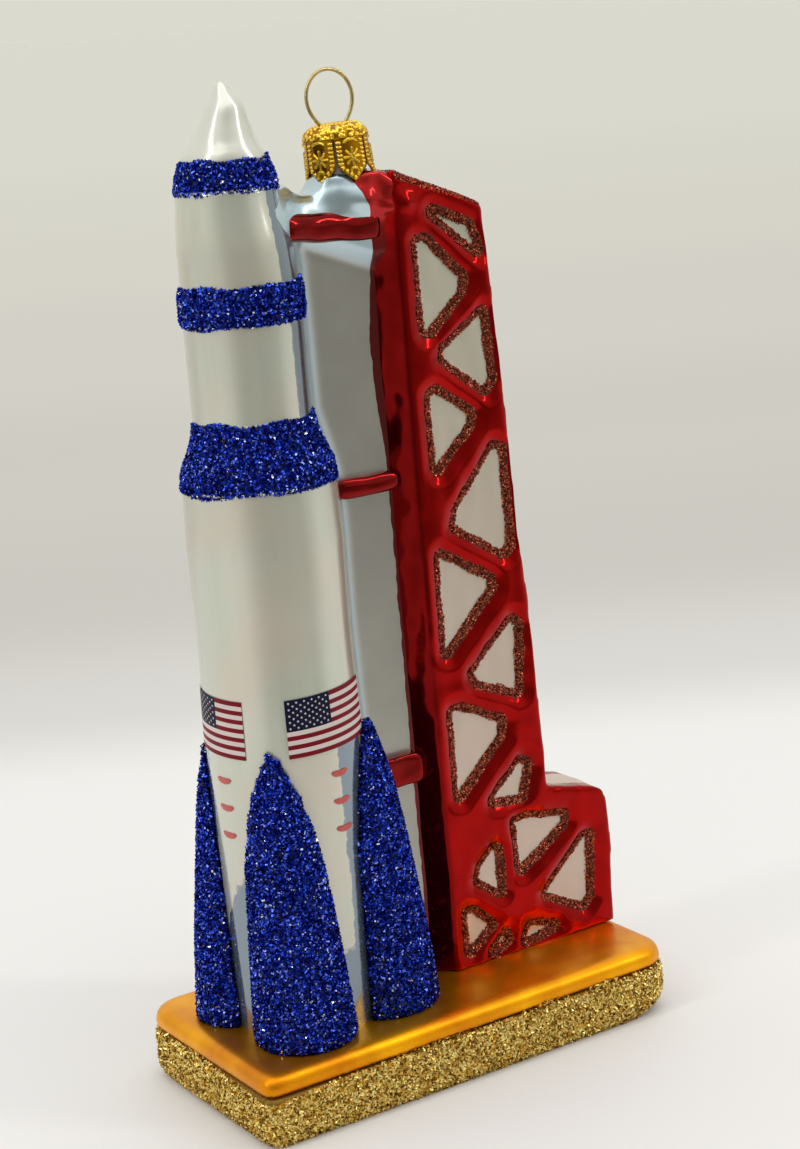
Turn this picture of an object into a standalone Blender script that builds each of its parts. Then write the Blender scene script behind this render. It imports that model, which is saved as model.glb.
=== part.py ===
# Glass hanging ornament of a space rocket beside its launch tower, both on one slab.
# Millimetres in the values and tables, metres in Blender, +Z up.
# X runs from the rocket to the tower, and -Y is the face that the photograph shows.
# The real one is a single blown shell: here each part of that shell is a solid of its own,
# and the pressed cap with its spring wire is loose, as on the real one.

import math

import bmesh
import bpy
from mathutils import Matrix

# Driving dimensions
MM = 0.001
GAP = 0.3
BASE_LENGTH = 79.0
BASE_WIDTH = 41.3
BASE_TOP = 11.7
BAND_TOP = 8.3
BAND_EDGE = 1.0
DECK_EDGE = 1.7
NEAR_CORNER = 2.5
FAR_CORNER = 5.5
FOOT = BASE_TOP + GAP
ROCKET_X = -19.3
ROUND_STEPS = 48
STAGE_RADIUS = 12.6
WEB_THICKNESS = 4.6
WEB_RIGHT = 2.7
ARM_HALF_DEPTH = 4.0
EDGE_ROUND = 0.8
MAST_LEFT = 3.0
MAST_SLOPE_END = 6.3
MAST_RIGHT = 7.8
MAST_TOP = 139.6
MAST_NARROW_HALF = 2.2
TOWER_HALF = 5.8
PLATE = 1.2
CORE_HALF = TOWER_HALF - PLATE - GAP
CORE_INSET = 0.5
LATTICE_LEFT = MAST_RIGHT + GAP
ANNEX_TOP = 36.5
NECK_BORE = 3.6
NECK_RIM = 150.7
BORE_FLOOR = 141.0
CAP_WALL = 0.4
CAP_FOOT = 143.4
CROWN = 152.3
PETALS = 6
PETAL_TURN = -36.0
SLIT_HALF = 0.17
SLIT_FOOT = 145.7
SLIT_TOP = 149.9
POINT_HALF = 3.1
NOTCH_RADIUS = 5.4
NOTCH_DEPTH = 4.0
WIRE_HOLE = 0.65
WIRE = 0.3
EYE_HALF_WIDTH = 4.0
EYE_HALF_HEIGHT = 4.2
EYE_Z = 156.3
LEG_X = 2.3
LEG_SPREAD = 0.25
LEG_FOOT = 145.6
HINGE_Z = 151.9

# Turned parts of the rocket from the foot up: radius, height
MAIN_STAGE = (
    (STAGE_RADIUS, FOOT),
    (STAGE_RADIUS, 58.7),
    (12.25, 71.0),
    (12.2, 77.0),
    (12.4, 90.0),
    (12.1, 99.1),
)
LOWER_BAND = (
    (12.1, 99.4),
    (12.3, 100.4),
    (12.2, 101.8),
    (11.4, 103.7),
    (10.5, 105.8),
    (9.9, 107.8),
    (9.7, 109.3),
)
MIDDLE_STAGE = ((9.3, 109.6), (9.3, 124.3))
MIDDLE_BAND = ((9.8, 124.6), (10.0, 125.2), (9.9, 129.4), (9.6, 130.0))
UPPER_STAGE = ((9.2, 130.3), (9.1, 136.5), (8.7, 141.0), (8.4, 144.1))
UPPER_BAND = ((8.5, 144.4), (8.5, 146.5), (7.7, 148.6))
NOSE = (
    (7.3, 148.9),
    (6.4, 150.2),
    (5.2, 151.5),
    (4.4, 153.0),
    (3.5, 154.6),
    (2.8, 156.1),
    (2.1, 157.4),
    (1.4, 158.5),
    (1.1, 159.3),
    (0.9, 159.8),
    (0.4, 160.3),
)

# The neck from the rim down its outside: radius, height
NECK_OUTSIDE = ((4.1, NECK_RIM), (4.1, 146.0), (4.3, 144.0), (4.9, 142.0), (5.4, 139.9))

# The cap's outside from the crown down: radius, height
CAP_OUTSIDE = (
    (2.1, 152.25),
    (3.3, 152.1),
    (4.2, 151.7),
    (4.75, 151.1),
    (5.0, 150.1),
    (5.05, 148.2),
    (5.15, 146.0),
    (5.25, CAP_FOOT),
)

# Sections of one fin: height, distance of the centre from the rocket's axis, radius
FIN_SECTIONS = (
    (FOOT, 11.7, 8.1),
    (26.0, 11.4, 7.2),
    (41.0, 10.5, 6.3),
    (49.0, 10.7, 5.0),
    (54.0, 11.0, 3.7),
    (57.5, 11.5, 2.3),
    (60.0, 12.2, 1.1),
)

# Each fin, blown a little differently: its turn about the rocket's axis at the tip and at the foot
# in degrees, its breadth against the sections, how far it is shifted outwards, and its tip's height
FINS = (
    ("left_rear_fin", 148, 148, 0.84, 0.0, 57.7),
    ("left_front_fin", 230, 236, 1.0, 0.0, 59.4),
    ("right_front_fin", 320, 328, 1.07, 0.6, 60.0),
    ("right_rear_fin", 48, 58, 0.97, 0.0, 60.0),
)

# name, middle height, height, radius of the rocket or of the fin beside it
ARMS = (
    ("upper_access_arm", 137.35, 4.5, 9.1),
    ("middle_access_arm", 96.0, 3.0, 12.3),
    ("lower_access_arm", 48.2, 4.8, 14.8),
)

# The web's pieces, each in a space that the arms leave: name, lower and upper end at the mast,
# then the edge beside the rocket from the foot up as across, up
LOWER_EDGE = ((-0.8, FOOT), (-2.6, 26.0), (-3.8, 34.0), (-4.8, 41.0), (-5.8, 45.5))
MIDDLE_EDGE = ((-6.4, 50.9), (-6.4, 60.0), (-6.7, 71.0), (-6.6, 94.2))
UPPER_EDGE = ((-6.6, 97.8), (-6.6, 102.5), (-9.0, 109.4), (-9.0, 130.0), (-9.8, 134.8))
WEBS = (
    ("lower_web", FOOT, 45.5, LOWER_EDGE),
    ("middle_web", 50.9, 94.2, MIDDLE_EDGE),
    ("upper_web", 97.8, 134.8, UPPER_EDGE),
)
SADDLE = ((-5.8, 139.9), (-10.0, 139.9), (-10.4, 143.9), (-9.0, 143.1), (-6.6, 142.5), (-5.2, 142.6))

# Outlines of the tower's head, the tower below it, and the lower annex: across, up
HEAD = (
    (5.8, 139.9),
    (5.15, 142.4),
    (5.75, 142.8),
    (5.9, 144.6),
    (9.5, 142.9),
    (14.5, 140.8),
    (21.4, 137.8),
    (22.2, 136.9),
    (22.2, 135.3),
    (21.4, 134.9),
    (13.6, 138.4),
    (9.5, 139.9),
)
TOWER = (
    (LATTICE_LEFT, ANNEX_TOP + GAP),
    (LATTICE_LEFT, MAST_TOP),
    (9.4, MAST_TOP),
    (13.5, 138.05),
    (21.3, 134.5),
    (22.3, 134.5),
    (23.5, 112.5),
    (24.5, 85.9),
    (25.9, 65.2),
    (26.4, 47.7),
    (26.6, ANNEX_TOP + GAP),
)
ANNEX = (
    (LATTICE_LEFT, FOOT),
    (LATTICE_LEFT, ANNEX_TOP),
    (26.95, ANNEX_TOP),
    (26.95, 39.0),
    (36.3, 36.9),
    (38.2, 35.8),
    (39.0, 33.8),
    (39.2, 26.0),
    (38.8, FOOT),
)

# Corners of each window in the lattice, from the top down: across, up
TOWER_WINDOWS = (
    ((13.4, 137.3), (19.8, 134.4), (21.1, 130.6)),
    ((10.1, 132.9), (11.4, 133.0), (17.7, 126.4), (17.3, 124.5), (11.2, 119.0), (10.3, 119.0)),
    ((21.2, 120.3), (21.7, 109.4), (20.6, 108.3), (13.4, 114.2), (13.7, 115.4)),
    ((10.2, 108.6), (11.4, 108.9), (17.5, 104.5), (17.0, 103.0), (10.4, 96.9)),
    ((21.5, 98.3), (22.7, 97.7), (23.0, 81.8), (21.9, 81.0), (13.0, 86.9), (13.6, 89.1)),
    ((9.6, 82.4), (18.5, 76.8), (18.6, 75.4), (9.3, 66.6)),
    ((22.3, 68.9), (23.4, 68.1), (22.6, 57.1), (15.0, 60.3), (14.3, 61.7)),
    ((9.6, 56.1), (11.0, 56.3), (18.7, 52.4), (18.3, 50.3), (9.5, 42.0)),
    ((22.3, 44.6), (23.3, 43.8), (21.6, 38.8), (16.3, 39.4)),
)
ANNEX_WINDOWS = (
    ((20.4, 34.3), (22.3, 34.5), (29.9, 33.1), (29.8, 32.0), (20.7, 26.2)),
    ((34.0, 28.0), (34.9, 28.3), (34.2, 17.6), (33.0, 16.4), (25.5, 20.4)),
    ((15.5, 30.8), (16.1, 30.3), (16.1, 23.5), (12.1, 26.4), (12.9, 28.3)),
    ((9.3, 21.2), (10.4, 21.0), (13.6, 17.9), (9.3, 14.7)),
    ((22.0, 15.4), (26.3, 14.2), (20.9, 13.3)),
    ((16.3, 15.4), (16.7, 14.6), (14.2, 13.2)),
)

# Clear the scene, set the units and make one collection for the parts and one for the cutters
for old in list(bpy.data.objects):
    bpy.data.objects.remove(old, do_unlink=True)
bpy.context.scene.unit_settings.system = "METRIC"
bpy.context.scene.unit_settings.scale_length = 1.0
parts = bpy.data.collections.new("rocket_ornament")
cutters = bpy.data.collections.new("cutters")
bpy.context.scene.collection.children.link(parts)
bpy.context.scene.collection.children.link(cutters)


def material(name, colour, metallic, roughness):
    made = bpy.data.materials.new(name)
    made.use_nodes = True
    shader = made.node_tree.nodes["Principled BSDF"]
    shader.inputs["Base Color"].default_value = (*colour, 1.0)
    shader.inputs["Metallic"].default_value = metallic
    shader.inputs["Roughness"].default_value = roughness
    return made


PEARL = material("pearl_lacquer_on_glass", (0.72, 0.73, 0.68), 0.3, 0.2)
BLUE = material("blue_glitter", (0.01, 0.02, 0.25), 0.2, 0.45)
SILVER = material("silvered_glass", (0.55, 0.60, 0.62), 0.8, 0.3)
RED = material("red_lacquer_on_glass", (0.55, 0.01, 0.01), 0.3, 0.12)
ORANGE = material("orange_gold_lacquer", (0.75, 0.28, 0.01), 0.5, 0.35)
GOLD = material("gold_glitter", (0.60, 0.42, 0.08), 0.7, 0.5)
BRASS = material("stamped_brass", (0.80, 0.52, 0.08), 0.9, 0.3)


# An object at a place in millimetres; one with no surface is a cutter
def add(name, data, place, surface):
    made = bpy.data.objects.new(name, data)
    made.location = [MM * v for v in place]
    if surface:
        made.data.materials.append(surface)
        parts.objects.link(made)
    else:
        made.hide_render = True
        made.display_type = "WIRE"
        cutters.objects.link(made)
    return made


def cut(target, cutter):
    boolean = target.modifiers.new("cut", "BOOLEAN")
    boolean.operation = "DIFFERENCE"
    boolean.solver = "EXACT"
    boolean.object = cutter


# A profile of radius and height, from the top down, turned about the object's own axis
def turned(name, profile, place, surface, steps=ROUND_STEPS):
    mesh = bpy.data.meshes.new(name)
    points = [(MM * radius, 0, MM * z) for radius, z in profile]
    mesh.from_pydata(points, [(i, i + 1) for i in range(len(points) - 1)], [])
    made = add(name, mesh, place, surface)
    screw = made.modifiers.new("turned", "SCREW")
    screw.steps = steps
    screw.render_steps = steps
    screw.use_merge_vertices = True
    screw.merge_threshold = 0.00001
    return made


def solid_of(profile):
    return ((0, profile[-1][1]), *reversed(profile), (0, profile[0][1]))


# A flat outline with holes, of one thickness to both sides of the object's own plane
def sheet(name, outline, holes, thickness, place, surface):
    curve = bpy.data.curves.new(name, "CURVE")
    curve.dimensions = "2D"
    curve.fill_mode = "BOTH"
    curve.extrude = MM * thickness / 2
    for points in (outline, *holes):
        spline = curve.splines.new("POLY")
        spline.points.add(len(points) - 1)
        spline.use_cyclic_u = True
        for point, (across, up) in zip(spline.points, points):
            point.co = (MM * across, MM * up, 0, 1)
    return add(name, curve, place, surface)


# Rounds the edges of a sheet, whose faces the build of a curve leaves loose
def rounded(made):
    weld = made.modifiers.new("weld", "WELD")
    weld.merge_threshold = 0.00001
    bevel = made.modifiers.new("round", "BEVEL")
    bevel.width = MM * EDGE_ROUND
    bevel.segments = 2
    bevel.limit_method = "ANGLE"
    bevel.angle_limit = math.radians(60)


# The same, standing up with its thickness along Y
def standing(name, outline, holes, thickness, middle_y, surface):
    made = sheet(name, outline, holes, thickness, (0, middle_y, 0), surface)
    made.rotation_euler = (math.pi / 2, 0, 0)
    return made


# One half of the slab: a box with its upright corners rounded, then its upper or lower rim
def slab_part(name, bottom, top, rim_z, rim, surface):
    made = bmesh.new()
    bmesh.ops.create_cube(made, size=1.0)
    bmesh.ops.scale(made, vec=(MM * BASE_LENGTH, MM * BASE_WIDTH, MM * (top - bottom)), verts=made.verts)
    for side_x, side_y in ((-1, -1), (1, -1), (1, 1), (-1, 1)):
        corner = NEAR_CORNER if side_x + side_y == -2 else FAR_CORNER
        upright = []
        for edge in made.edges:
            if all(side_x * v.co.x > 0 and side_y * v.co.y > 0 for v in edge.verts):
                upright.append(edge)
        if len(upright) == 1:
            bmesh.ops.bevel(made, geom=upright, offset=MM * corner, segments=5, profile=0.5, affect="EDGES")
    rim_local = MM * (rim_z - (bottom + top) / 2)
    edges = [edge for edge in made.edges if all(abs(v.co.z - rim_local) < MM * 0.01 for v in edge.verts)]
    bmesh.ops.bevel(made, geom=edges, offset=MM * rim, segments=3, profile=0.5, affect="EDGES")
    mesh = bpy.data.meshes.new(name)
    made.to_mesh(mesh)
    made.free()
    mesh.shade_smooth()
    mesh.set_sharp_from_angle(angle=math.radians(40))
    add(name, mesh, (0, 0, (bottom + top) / 2), surface)


# The slab: a band that carries gold glitter, and the lacquered deck
slab_part("base_band", 0.0, BAND_TOP, 0.0, BAND_EDGE, GOLD)
slab_part("base_deck", BAND_TOP + GAP, BASE_TOP, BASE_TOP, DECK_EDGE, ORANGE)

# The rocket's turned parts, from the foot up
rocket_axis = (ROCKET_X, 0, 0)
for name, profile, surface in (
    ("main_stage", MAIN_STAGE, PEARL),
    ("lower_glitter_band", LOWER_BAND, BLUE),
    ("middle_stage", MIDDLE_STAGE, PEARL),
    ("middle_glitter_band", MIDDLE_BAND, BLUE),
    ("upper_stage", UPPER_STAGE, PEARL),
    ("upper_glitter_band", UPPER_BAND, BLUE),
    ("nose_cone", NOSE, PEARL),
):
    turned(name, solid_of(profile), rocket_axis, surface)

# Four fins: each a leaning cone, lofted by hand because its sections shift outwards, and cut
# back to leave a gap round the main stage
clearance = ((STAGE_RADIUS + GAP, 0), (STAGE_RADIUS + GAP, MAST_TOP))
stage_cutter = turned("stage_cutter", solid_of(clearance), rocket_axis, None, 2 * ROUND_STEPS)
FIN_SIDES = 32
fin_top = FIN_SECTIONS[-1][0]
for name, tip_turn, foot_turn, breadth, shift, tip_z in FINS:
    made = bmesh.new()
    rows = []
    for z, out, radius in FIN_SECTIONS:
        share = (z - FOOT) / (fin_top - FOOT)
        lean = math.radians(foot_turn - tip_turn) * (1 - share)
        row = []
        for i in range(FIN_SIDES):
            angle = 2 * math.pi * i / FIN_SIDES
            x = out + shift + breadth * radius * math.cos(angle)
            y = breadth * radius * math.sin(angle)
            row.append(made.verts.new((MM * x, MM * y, MM * (FOOT + share * (tip_z - FOOT)))))
        bmesh.ops.rotate(made, verts=row, cent=(0, 0, 0), matrix=Matrix.Rotation(lean, 3, "Z"))
        rows.append(row)
    for low, high in zip(rows, rows[1:]):
        for i in range(FIN_SIDES):
            after = (i + 1) % FIN_SIDES
            made.faces.new((low[i], low[after], high[after], high[i]))
    made.faces.new(reversed(rows[0]))
    made.faces.new(rows[-1])
    mesh = bpy.data.meshes.new(name)
    made.to_mesh(mesh)
    made.free()
    mesh.shade_smooth()
    mesh.set_sharp_from_angle(angle=math.radians(40))
    fin = add(name, mesh, rocket_axis, BLUE)
    fin.rotation_euler = (0, 0, math.radians(tip_turn))
    cut(fin, stage_cutter)

# Three arms from the rocket to the mast, their ends shaped to both
slope = (MAST_SLOPE_END - MAST_LEFT) / (TOWER_HALF - MAST_NARROW_HALF)
front = WEB_RIGHT + slope * (ARM_HALF_DEPTH - MAST_NARROW_HALF)
ARM_END_STEPS = 8
for name, z, height, radius in ARMS:
    outline = []
    for i in range(ARM_END_STEPS + 1):
        y = ARM_HALF_DEPTH * (1 - 2 * i / ARM_END_STEPS)
        outline.append((ROCKET_X + math.sqrt((radius + GAP) ** 2 - y * y), y))
    outline += [(front, -ARM_HALF_DEPTH), (WEB_RIGHT, -MAST_NARROW_HALF)]
    outline += [(WEB_RIGHT, MAST_NARROW_HALF), (front, ARM_HALF_DEPTH)]
    rounded(sheet(name, outline, (), height, (0, 0, z), RED))

# The thin web of glass between rocket and tower
for name, low, high, edge in WEBS:
    standing(name, ((WEB_RIGHT, high), (WEB_RIGHT, low), *edge), (), WEB_THICKNESS, 0, SILVER)
standing("web_saddle", SADDLE, (), WEB_THICKNESS, 0, SILVER)

# The neck that the cap sits on, with its shoulder and its bore
bore_profile = ((0, BORE_FLOOR), (NECK_BORE, BORE_FLOOR), (NECK_BORE, NECK_RIM))
neck_profile = bore_profile + NECK_OUTSIDE + ((0, NECK_OUTSIDE[-1][1]),)
turned("neck", neck_profile, (0, 0, 0), SILVER, 40)

# The tower: a mast beside the web, a head, white cores, and the lattice on both faces
mast = (
    (MAST_LEFT, -MAST_NARROW_HALF),
    (MAST_SLOPE_END, -TOWER_HALF),
    (MAST_RIGHT, -TOWER_HALF),
    (MAST_RIGHT, TOWER_HALF),
    (MAST_SLOPE_END, TOWER_HALF),
    (MAST_LEFT, MAST_NARROW_HALF),
)
sheet("tower_mast", mast, (), MAST_TOP - FOOT, (0, 0, (MAST_TOP + FOOT) / 2), RED)
standing("tower_head", HEAD, (), 2 * TOWER_HALF, 0, RED)
for name, side in (("front", -1), ("rear", 1)):
    middle = side * (TOWER_HALF - PLATE / 2)
    standing("tower_lattice_" + name, TOWER, TOWER_WINDOWS, PLATE, middle, RED)
    standing("annex_lattice_" + name, ANNEX, ANNEX_WINDOWS, PLATE, middle, RED)
for name, outline in (("tower_core", TOWER), ("annex_core", ANNEX)):
    inset = [(across - CORE_INSET if across > LATTICE_LEFT else across, up) for across, up in outline]
    standing(name, inset, (), 2 * CORE_HALF, 0, PEARL)

# The pressed cap: a domed crown and a skirt, slit and pointed into petals, with two wire holes
cap_profile = [(radius, z - NECK_RIM) for radius, z in ((0, CROWN), *CAP_OUTSIDE)]
cap = turned("ornament_cap", cap_profile, (0, 0, NECK_RIM), BRASS)
wall = cap.modifiers.new("wall", "SOLIDIFY")
wall.thickness = MM * CAP_WALL
wall.offset = -1.0
wall.use_even_offset = True


def as_mesh(made):
    bpy.context.view_layer.update()
    graph = bpy.context.evaluated_depsgraph_get()
    mesh = bpy.data.meshes.new_from_object(made.evaluated_get(graph))
    welded = bmesh.new()
    welded.from_mesh(mesh)
    bmesh.ops.remove_doubles(welded, verts=welded.verts, dist=MM * 0.001)
    bmesh.ops.recalc_face_normals(welded, faces=welded.faces)
    welded.to_mesh(mesh)
    welded.free()
    bpy.data.objects.remove(made, do_unlink=True)
    return mesh


half_notch = [(POINT_HALF, CAP_FOOT - 2 * CAP_WALL), (SLIT_HALF, SLIT_FOOT), (SLIT_HALF, SLIT_TOP)]
notch_outline = half_notch + [(-across, up) for across, up in reversed(half_notch)]
notch_mesh = as_mesh(sheet("notch_outline", notch_outline, (), NOTCH_DEPTH, (0, 0, 0), None))
for i in range(PETALS):
    notch = add("notch_cutter", notch_mesh, (0, 0, 0), None)
    turn = 2 * math.pi * i / PETALS + math.radians(PETAL_TURN)
    notch.location = (MM * NOTCH_RADIUS * math.sin(turn), -MM * NOTCH_RADIUS * math.cos(turn), 0)
    notch.rotation_euler = (math.pi / 2, 0, turn)
    cut(cap, notch)
for side in (-1, 1):
    hole = solid_of(((WIRE_HOLE, NECK_RIM), (WIRE_HOLE, CROWN + 1)))
    cut(cap, turned("wire_hole_cutter", hole, (side * LEG_X, 0, 0), None, 16))

# The spring wire: an oval eye above the cap and two legs that spread in the bore
leg = [(LEG_X + LEG_SPREAD, LEG_FOOT), (LEG_X, SLIT_TOP), (LEG_X, CROWN)]
EYE_STEPS = 8
for i in range(1, EYE_STEPS):
    left = 1 - i / EYE_STEPS
    across = EYE_HALF_WIDTH - (EYE_HALF_WIDTH - LEG_X) * left**2
    leg.append((across, CROWN + (EYE_Z - CROWN) * i / EYE_STEPS))
route = [(-across, z) for across, z in leg]
for i in range(2 * EYE_STEPS + 1):
    angle = math.pi * (1 - i / (2 * EYE_STEPS))
    route.append((EYE_HALF_WIDTH * math.cos(angle), EYE_Z + EYE_HALF_HEIGHT * math.sin(angle)))
route += reversed(leg)
curve = bpy.data.curves.new("hanging_ring", "CURVE")
curve.dimensions = "3D"
curve.bevel_depth = MM * WIRE
curve.bevel_resolution = 2
curve.use_fill_caps = True
spline = curve.splines.new("POLY")
spline.points.add(len(route) - 1)
for point, (x, z) in zip(spline.points, route):
    point.co = (MM * x, 0, MM * (z - HINGE_Z), 1)
ring = add("hanging_ring", curve, (0, 0, HINGE_Z - NECK_RIM), BRASS)
ring.parent = cap
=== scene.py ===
# Glass hanging ornament of a space rocket beside its launch tower, both on one slab.
# The blown shell is silvered inside, painted with lacquers and set with glitter, and a pressed
# brass cap with its spring wire closes the neck. Metres, +Z up, and -Y is the photographed face.
import math

import bmesh
import bpy
import numpy as np
from mathutils import Matrix, Vector


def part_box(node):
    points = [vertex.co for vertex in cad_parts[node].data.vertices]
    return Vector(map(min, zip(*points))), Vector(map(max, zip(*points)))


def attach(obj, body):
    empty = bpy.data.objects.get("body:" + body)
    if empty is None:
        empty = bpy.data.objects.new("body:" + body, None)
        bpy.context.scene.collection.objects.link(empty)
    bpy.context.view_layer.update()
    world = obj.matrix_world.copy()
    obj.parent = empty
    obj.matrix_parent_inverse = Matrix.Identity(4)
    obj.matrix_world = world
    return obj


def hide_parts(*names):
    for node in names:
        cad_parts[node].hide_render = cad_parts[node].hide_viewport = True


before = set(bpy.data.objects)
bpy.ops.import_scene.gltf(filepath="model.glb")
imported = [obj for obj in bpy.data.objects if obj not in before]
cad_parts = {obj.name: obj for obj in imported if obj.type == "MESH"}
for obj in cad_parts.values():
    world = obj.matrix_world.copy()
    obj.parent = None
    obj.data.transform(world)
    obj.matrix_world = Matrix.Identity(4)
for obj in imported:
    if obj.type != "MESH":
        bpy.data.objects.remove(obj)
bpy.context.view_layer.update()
MM = 0.001

# Camera and studio
# A pale seamless table, a soft box overhead, two tall strip lights at the sides that draw the
# thin upright gleams on the glass, and a pale room that is darker on the photographer's side. Light
# and shade are painted on the table's paper, with painted shade on the photographer's side.
eye = Vector((-0.19516, -0.32297, 0.1690))
yaw = math.radians(31.77)
pitch = math.radians(-13.24)
roll = math.radians(-4.91)
look = Vector((math.sin(yaw) * math.cos(pitch), math.cos(yaw) * math.cos(pitch), math.sin(pitch)))
level = Vector((math.cos(yaw), -math.sin(yaw), 0.0))
right = math.cos(roll) * level + math.sin(roll) * level.cross(look)
up = right.cross(look)
lens = bpy.data.cameras.new("camera")
lens.lens = 75.41
lens.sensor_width = 36.0
lens.clip_start = 0.01
camera = bpy.data.objects.new("camera", lens)
camera.matrix_world = Matrix.Translation(eye) @ Matrix((right, up, -look)).transposed().to_4x4()
bpy.context.scene.collection.objects.link(camera)
bpy.context.scene.camera = camera
bpy.context.scene.view_settings.view_transform = "Standard"


def linear(hex_colour):
    channels = [int(hex_colour[i:i + 2], 16) / 255 for i in (1, 3, 5)]
    return (*[c / 12.92 if c <= 0.04045 else ((c + 0.055) / 1.055) ** 2.4 for c in channels], 1.0)


def add_node(tree, kind, inputs, **settings):
    made = tree.nodes.new("ShaderNode" + kind)
    for name, value in settings.items():
        setattr(made, name, value)
    for socket, value in inputs.items():
        if isinstance(value, bpy.types.NodeSocket):
            tree.links.new(value, made.inputs[socket])
        else:
            made.inputs[socket].default_value = value
    return made


# Two colours mixed by a share; each is a hex colour, a linear colour or a socket
def mixed(tree, share, first, second):
    first, second = (linear(colour) if isinstance(colour, str) else colour for colour in (first, second))
    inputs = {"Factor": share, "A": first, "B": second}
    return add_node(tree, "Mix", inputs, data_type="RGBA").outputs["Result"]


# A value carried from one range over to another, and held at its ends
def ranged(tree, value, of=(0, 1), to=(0, 1), kind="LINEAR"):
    inputs = {"Value": value, "From Min": of[0], "From Max": of[1], "To Min": to[0], "To Max": to[1]}
    return add_node(tree, "MapRange", inputs, interpolation_type=kind).outputs["Result"]


def maths(tree, operation, first, second):
    return add_node(tree, "Math", {0: first, 1: second}, operation=operation).outputs["Value"]


# How far a place or a direction lies along a way
def along(tree, place, way):
    return add_node(tree, "VectorMath", {0: place, 1: way}, operation="DOT_PRODUCT").outputs["Value"]


# A ramp of colours whose first and last tones stand at its ends
def ramp(tree, value, tones, kind="LINEAR"):
    made = add_node(tree, "ValToRGB", {"Fac": value})
    made.color_ramp.interpolation = kind
    stops = made.color_ramp.elements
    for position, colour in tones:
        stop = stops.new(position) if 0 < position < 1 else stops[-1 if position else 0]
        stop.color = linear(colour)
    return made.outputs["Color"]


def new_finish(name, **sockets):
    made = bpy.data.materials.new(name)
    made.use_nodes = True
    shader = made.node_tree.nodes["Principled BSDF"]
    for socket, value in sockets.items():
        shader.inputs[socket.replace("_", " ")].default_value = value
    return made, made.node_tree, shader


def add_piece(name, mesh, finish):
    made = bpy.data.objects.new(name, mesh)
    bpy.context.scene.collection.objects.link(made)
    if finish:
        mesh.materials.append(finish)
    return made


TABLE_HALF = 60.0
# Plan angles at which the room is darkest and the table's painted shade is deepest
DARK_ANGLE = math.radians(250)
FLOOR_PAINTED_SHADE_ANGLE = math.radians(264)
# How far the painted light and shade on the paper reach before and behind the middle, and their tones
PAPER_SPAN = (-0.2, 3.0)
PAPER_PAINTED_LIGHT = (
    (0.0, "#E5E2E0"), (0.0625, "#E8E6E5"), (0.11, "#E7E6E5"), (0.131, "#D2D0CD"), (0.165, "#C6C3BE"),
    (0.24, "#CFCCC6"), (0.344, "#DBD8D1"), (0.5, "#E4E1D8"), (0.69, "#E8E6DC"), (1.0, "#EBEADF"),
)
# Matt paper with painted light and shade: tones by distance, and painted shade on the photographer's side
table_paper, tree, shader = new_finish("matt_table_paper_painted_light", Roughness=0.55, Specular_IOR_Level=0.2)
place = add_node(tree, "TexCoord", {}).outputs["Object"]
depth = along(tree, place, (math.sin(yaw), math.cos(yaw), 0.0))
paper_painted_light = ramp(tree, ranged(tree, depth, PAPER_SPAN), PAPER_PAINTED_LIGHT, "EASE")
# Painted shade on the paper towards the photographer's side, growing with distance from the middle
direction = add_node(tree, "VectorMath", {0: place}, operation="NORMALIZE").outputs["Vector"]
painted_shade = along(tree, direction, (math.cos(FLOOR_PAINTED_SHADE_ANGLE), math.sin(FLOOR_PAINTED_SHADE_ANGLE), 0.0))
painted_shade = ranged(tree, painted_shade, (0.4, 0.92), kind="SMOOTHSTEP")
reach = add_node(tree, "VectorMath", {0: place}, operation="LENGTH").outputs["Value"]
reach = ranged(tree, reach, (0.12, 0.33), kind="SMOOTHSTEP")
paper_painted_light = mixed(tree, maths(tree, "MULTIPLY", painted_shade, reach), paper_painted_light, "#84867E")
tree.links.new(paper_painted_light, shader.inputs["Base Color"])
table_mesh = bpy.data.meshes.new("table")
corners = [(x * TABLE_HALF, y * TABLE_HALF, 0) for x, y in ((-1, -1), (1, -1), (1, 1), (-1, 1))]
table_mesh.from_pydata(corners, [], [(0, 1, 2, 3)])
add_piece("table", table_mesh, table_paper)

world = bpy.data.worlds.new("studio")
world.use_nodes = True
bpy.context.scene.world = world
tree = world.node_tree
ray = add_node(tree, "TexCoord", {}).outputs["Generated"]
facing = along(tree, ray, (math.cos(DARK_ANGLE), math.sin(DARK_ANGLE), 0.1))
shade = ranged(tree, facing, (0.6, 0.97), (1.0, 0.38), "SMOOTHSTEP")
height = add_node(tree, "SeparateXYZ", {"Vector": ray}).outputs["Z"]
ceiling = ranged(tree, height, (0.05, 0.9), (0.785, 1.0))
sky = mixed(tree, ranged(tree, height, (0.0, 0.5)), "#F3F3E6", "#F7F7F4")
background = tree.nodes["Background"]
tree.links.new(sky, background.inputs["Color"])
tree.links.new(maths(tree, "MULTIPLY", shade, ceiling), background.inputs["Strength"])

LAMPS_AIM = Vector((0, 0, 0.08))
# name, plan angle and distance of the lamp, its height, width, tall side, power in watts
for name, angle, distance, height, wide, tall, power in (
    ("overhead_box", 250, 0.10, 0.85, 0.8, 0.8, 1.6),
    ("left_strip", 182, 0.60, 0.60, 0.03, 0.7, 0.9),
    ("right_strip", 316, 0.60, 0.60, 0.03, 0.7, 0.9),
):
    light = bpy.data.lights.new(name, "AREA")
    light.shape = "RECTANGLE"
    light.size = wide
    light.size_y = tall
    light.energy = power
    light.color = linear("#FFFEFC")[:3]
    lamp = bpy.data.objects.new(name, light)
    turn = math.radians(angle)
    lamp.location = (distance * math.cos(turn), distance * math.sin(turn), height)
    lamp.rotation_euler = (LAMPS_AIM - lamp.location).to_track_quat("-Z", "Y").to_euler()
    bpy.context.scene.collection.objects.link(lamp)

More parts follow.
